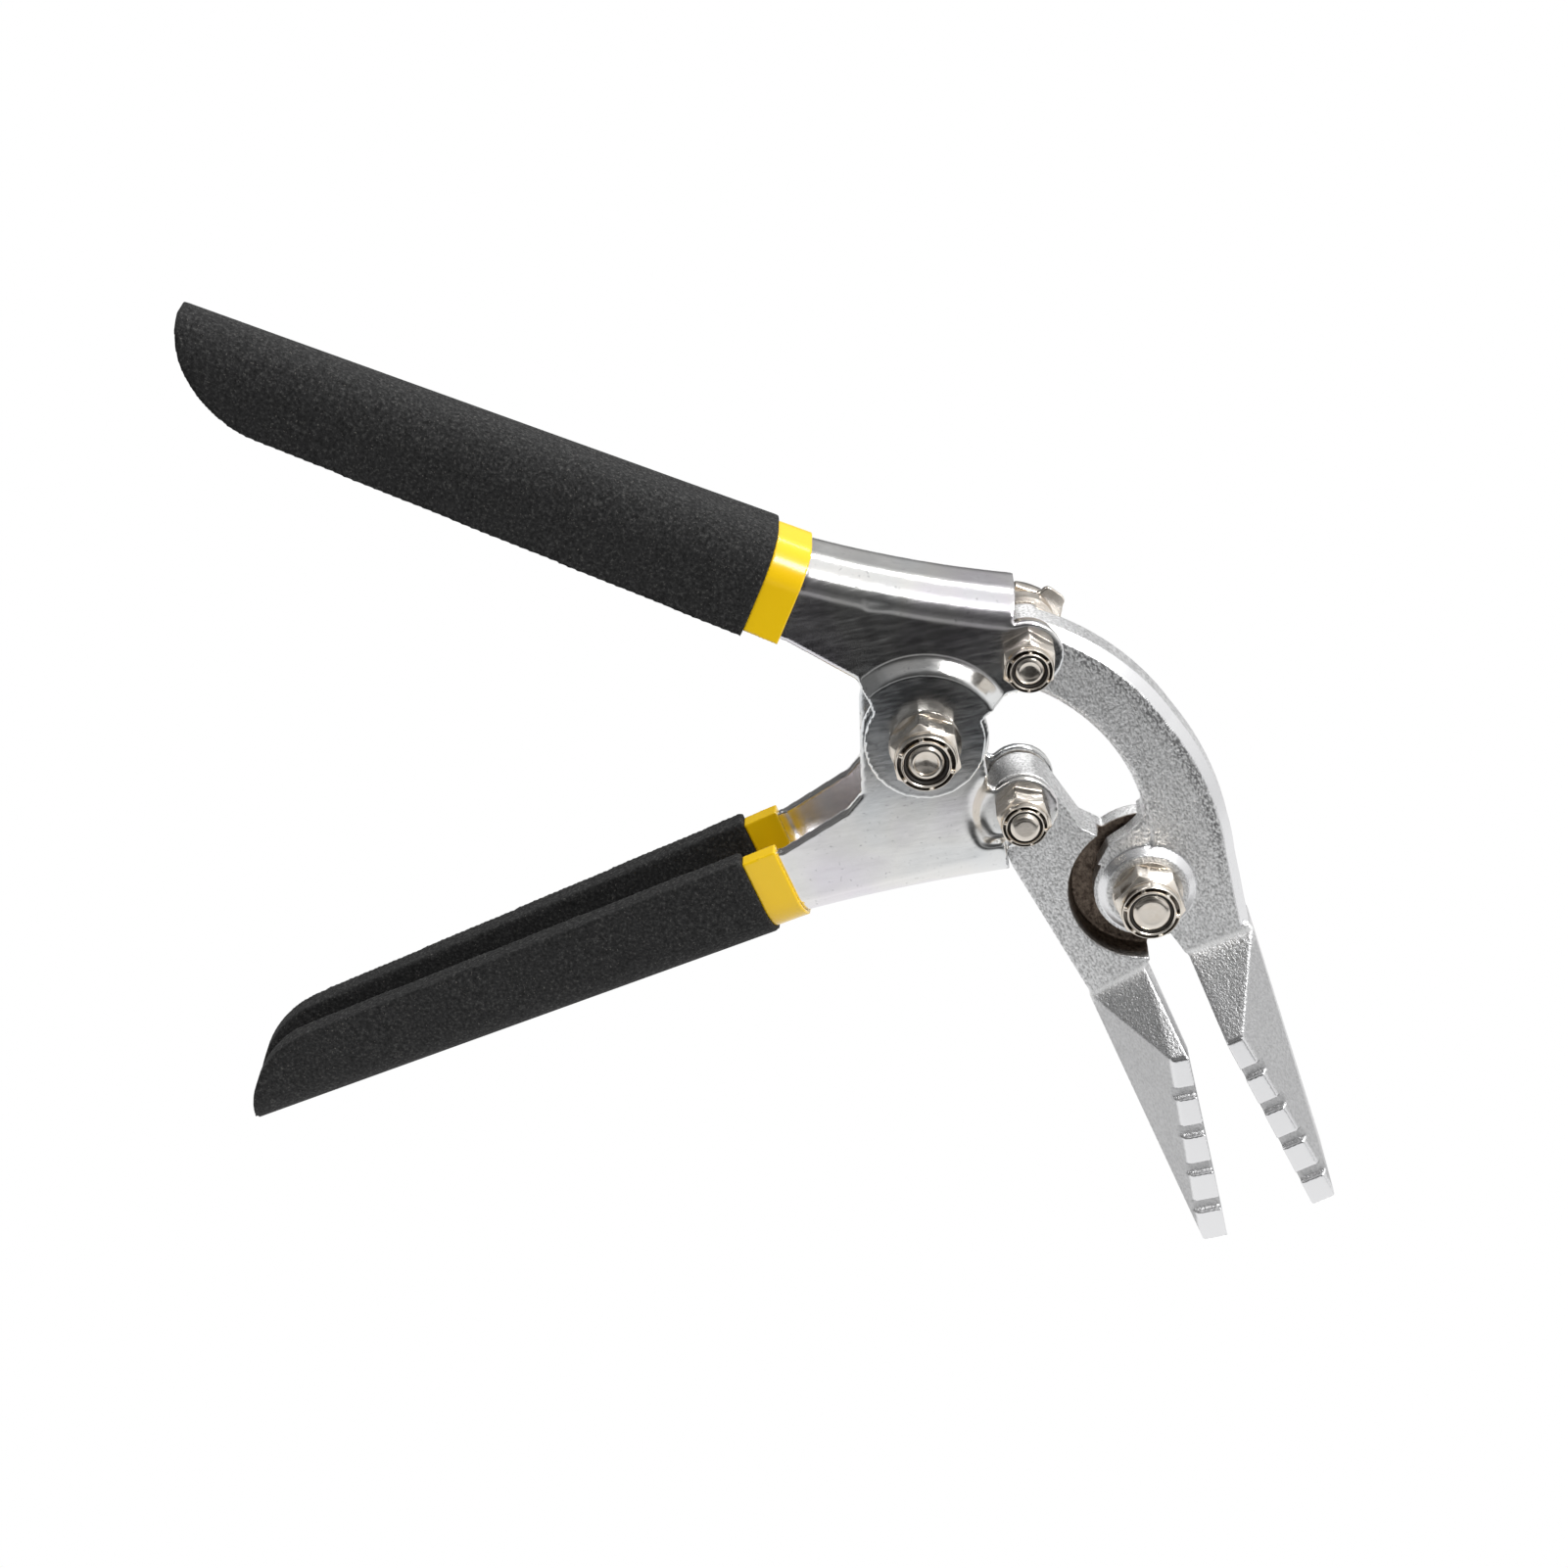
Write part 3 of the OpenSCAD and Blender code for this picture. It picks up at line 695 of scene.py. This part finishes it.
def lock_nut(prefix, flats, bore, height, centre, turn, body):
    """Lock nut with painted shade in its windows, and the ring inside its collar."""
    nut = ring_piece(prefix + "_nut_skin", nut_rings(flats, bore, height, flats > 12), NUT_SIDES,
                     centre, math.radians(turn), NICKEL, body, "nickel", prefix + "_nut")
    p = coords(nut.data) - np.array(centre)
    r = np.hypot(p[:, 0], p[:, 1]) / flats
    # Painted shade in the windows
    sunk = (r > 0.394) & (r < 0.442) & (p[:, 2] < height - 1.2) & (p[:, 2] > 0.7 * height)
    mark(nut.data, "window_shade", sunk * 0.85)
    top, outer = height - 0.62, 0.347 * flats
    ring_piece(prefix + "_ring_skin",
               [circle(bore + 0.02, top - 1.0), circle(outer, top - 1.0),
                circle(outer, top - 0.2), circle(outer - 0.08, top - 0.04),
                circle(outer - 0.2, top), circle(bore + 0.15, top - 0.05),
                circle(bore + 0.02, top - 0.25)],
               RING_SIDES, centre, 0, RING, body, "lock_ring", prefix + "_lock_ring")


def bolt_piece(prefix, flats, r, low, high, centre, body, end):
    """Bolt with a hexagon head below and a turned end above; end shapes its tip."""
    head = HEAD_RATIO * 2 * (r + RUNNING)

    def hexa(share, z, chamfer=0.0):
        def ring(a):
            h = np.minimum(hexagon_r(a, flats), 0.57 * flats)
            return share * h, z + chamfer * (h / (flats / 2) - 1) * flats
        return ring

    rings = [circle(0.2 * flats, low - head), circle(0.43 * flats, low - head),
             circle(0.455 * flats, low - head + 0.05), hexa(0.97, low - head + 0.3, 0.5),
             hexa(1.0, low - head + 0.65, 0.5), hexa(1.0, low - 0.35), hexa(0.985, low - 0.1),
             hexa(0.96, low), circle(r, low + 0.02)]
    rings += [circle(r, low + 1.0), circle(r, high - 1.6)]
    for i in range(2 * GROOVES):
        rings.append(circle(r - (GROOVE_DEPTH if i % 2 else 0.0),
                            high - 1.5 + GROOVE_PITCH / 2 * i))
    rings += [circle(rr, high + zz) for rr, zz in end]
    mesh = polar_mesh(prefix + "_bolt_skin", rings, RING_SIDES, centre, math.radians(12))
    return new_piece(prefix + "_bolt_skin", mesh, NICKEL, body, "nickel", prefix + "_bolt",
                     sharp=30)


def level(node):
    """Lowest and highest z of a node in tool coordinates, in millimetres."""
    low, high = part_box(node)
    return REAR[1] - high[1] / MM, REAR[1] - low[1] / MM


# Name, width across flats, bore radius, nut height, pivot, the nut's turn in degrees, body,
# and the radii and heights that shape the bolt's tip
FASTENERS = (
    ("rear", 13, 4.0, 9.5, A, 12, "lower_handle",
     ((3.7, -0.42), (3.2, -0.05), (2.75, 0.0), (2.5, -0.12), (2.3, -0.5), (1.2, -0.85),
      (0.5, -0.9))),
    ("upper", 10, 3.0, 8.0, B, 0, "upper_handle",
     ((2.8, -0.35), (2.4, -0.05), (2.1, 0.0), (1.8, -0.16), (1.2, -0.22), (0.5, -0.22))),
    ("lower", 10, 3.0, 8.0, C, 20, "lower_handle",
     ((2.8, -0.4), (2.45, -0.08), (2.1, 0.0), (1.6, 0.0), (1.0, 0.0), (0.5, 0.0))),
    ("jaw", 13, 4.0, 9.5, D, 22, "inner_jaw",
     ((3.75, -0.4), (3.3, -0.08), (2.9, 0.0), (2.4, -0.03), (1.4, -0.05), (0.5, -0.05))),
)
for prefix, flats, bore, height, centre, turn, body, end in FASTENERS:
    base = level(prefix + "_nut")[0]
    lock_nut(prefix, flats, bore, height, (*centre, base), turn, body)
    low, high = level(prefix + "_bolt")
    bolt_piece(prefix, flats, bore - RUNNING, low + HEAD_RATIO * 2 * bore, high, (*centre, 0),
               body, end)

# ---- CAD nodes that stay ----

KEPT = {"rear_washer": NICKEL, "latch_washer": NICKEL, "upper_spacers": NICKEL,
        "lower_spacers": NICKEL, "jaw_shim": NICKEL, "rear_sleeve": STEEL,
        "return_spring": STEEL}
for node, mat in KEPT.items():
    mesh = frame["nodes"][node].data
    mesh.materials.clear()
    mesh.materials.append(mat)

# ---- floor and light ----


def stage_plane(name, size, mat, camera):
    """A level square sheet, seen either by the camera alone or by everything else alone."""
    mesh = bpy.data.meshes.new(name)
    half = size / 2 * MM
    corners = [(-half, -half, 0), (half, -half, 0), (half, half, 0), (-half, half, 0)]
    mesh.from_pydata(corners, [], [(0, 1, 2, 3)])
    stage_object(name, mesh, mat, camera)


def stage_object(name, mesh, mat, camera):
    """Part of the set, seen by the camera alone or by everything but the camera."""
    mesh.materials.append(mat)
    obj = bpy.data.objects.new(name, mesh)
    bpy.context.scene.collection.objects.link(obj)
    obj.location = (0, 0, -0.05 * MM)
    obj.visible_camera = camera
    obj.visible_diffuse = obj.visible_glossy = obj.visible_transmission = not camera
    obj.visible_shadow = False


def glow_material(name, paint=None):
    """Even white light, or light with a colour that paint() makes from the place."""
    n = Nodes(name, Roughness=1.0, Specular_IOR_Level=0.0)
    n.shader.inputs["Base Color"].default_value = (0, 0, 0, 1)
    n.shader.inputs["Emission Color"].default_value = (1, 1, 1, 1)
    n.shader.inputs["Emission Strength"].default_value = 1.0
    if paint:
        n.link(paint(n), n.shader.inputs["Emission Color"])
    return n.mat


def table_paint(n):
    """The table as the metal sees it: light round the tool, dark towards the front."""
    axes = n.add("ShaderNodeSeparateXYZ")
    n.link(n.place, axes.inputs["Vector"])
    near = n.range(axes.outputs["Y"], -0.6, 0.0, 0, 1)
    return n.ramp(near, (0.0, (0.30, 0.30, 0.30)), (0.3, (0.03, 0.03, 0.03)),
                  (0.64, (0.006, 0.006, 0.007)), (0.675, (0.80, 0.81, 0.82)),
                  (0.88, (0.84, 0.84, 0.84)), (1.0, (0.9, 0.9, 0.9)))


def area(name, size, place, target, power):
    """A rectangular light that faces its target."""
    data = bpy.data.lights.new(name, "AREA")
    data.shape, data.size, data.size_y = "RECTANGLE", size[0] * MM, size[1] * MM
    data.energy = power
    obj = bpy.data.objects.new(name, data)
    bpy.context.scene.collection.objects.link(obj)
    obj.location = Vector(place) * MM
    obj.rotation_euler = (Vector(target) - Vector(place)).to_track_quat("-Z", "Y").to_euler()


stage_plane("floor", 8000, glow_material("paper"), True)
stage_plane("table", 4000, glow_material("table_top", table_paint), False)

dome_mesh = bpy.data.meshes.new("dome")
bm = bmesh.new()
bmesh.ops.create_icosphere(bm, subdivisions=4, radius=5)
bm.to_mesh(dome_mesh)
bm.free()
stage_object("backdrop", dome_mesh, glow_material("backdrop_paper"), True)

# The sky is lightest to the upper right, and dark low down in front, where a camera stands
SKY_TOWARD, SKY_TONES = (0.6, -0.08, 0.79), ((0.0, 0.13), (0.2, 0.3), (0.45, 0.6), (0.75, 0.86),
                                             (1.0, 0.94))
FRONT_TOWARD, FRONT_VEIL = (0, -0.894, 0.447), (("From Min", 0.78), ("From Max", 0.96),
                                                ("To Min", 1.0), ("To Max", 0.14))

world = bpy.data.worlds.new("world")
world.use_nodes = True
tree = world.node_tree
toward = tree.nodes.new("ShaderNodeTexCoord")


def facing(direction):
    """How closely the ray runs towards a direction, as a node's output."""
    node = tree.nodes.new("ShaderNodeVectorMath")
    node.operation = "DOT_PRODUCT"
    node.inputs[1].default_value = direction
    tree.links.new(toward.outputs["Generated"], node.inputs[0])
    return node.outputs["Value"]


sky = tree.nodes.new("ShaderNodeValToRGB")
while len(sky.color_ramp.elements) < len(SKY_TONES):
    sky.color_ramp.elements.new(0.5)
for element, (at, tone) in zip(sky.color_ramp.elements, SKY_TONES):
    element.position, element.color = at, (tone, tone, tone, 1)
tree.links.new(facing(Vector(SKY_TOWARD).normalized()), sky.inputs["Fac"])
veil = tree.nodes.new("ShaderNodeMapRange")
for key, number in FRONT_VEIL:
    veil.inputs[key].default_value = number
tree.links.new(facing(FRONT_TOWARD), veil.inputs["Value"])
tree.links.new(sky.outputs["Color"], tree.nodes["Background"].inputs["Color"])
tree.links.new(veil.outputs["Result"], tree.nodes["Background"].inputs["Strength"])
bpy.context.scene.world = world

TARGET = (0, 0, 90)
area("key", (420, 260), (390, -420, 820), TARGET, 6.5)
area("back", (900, 200), (-100, 600, 900), TARGET, 5)
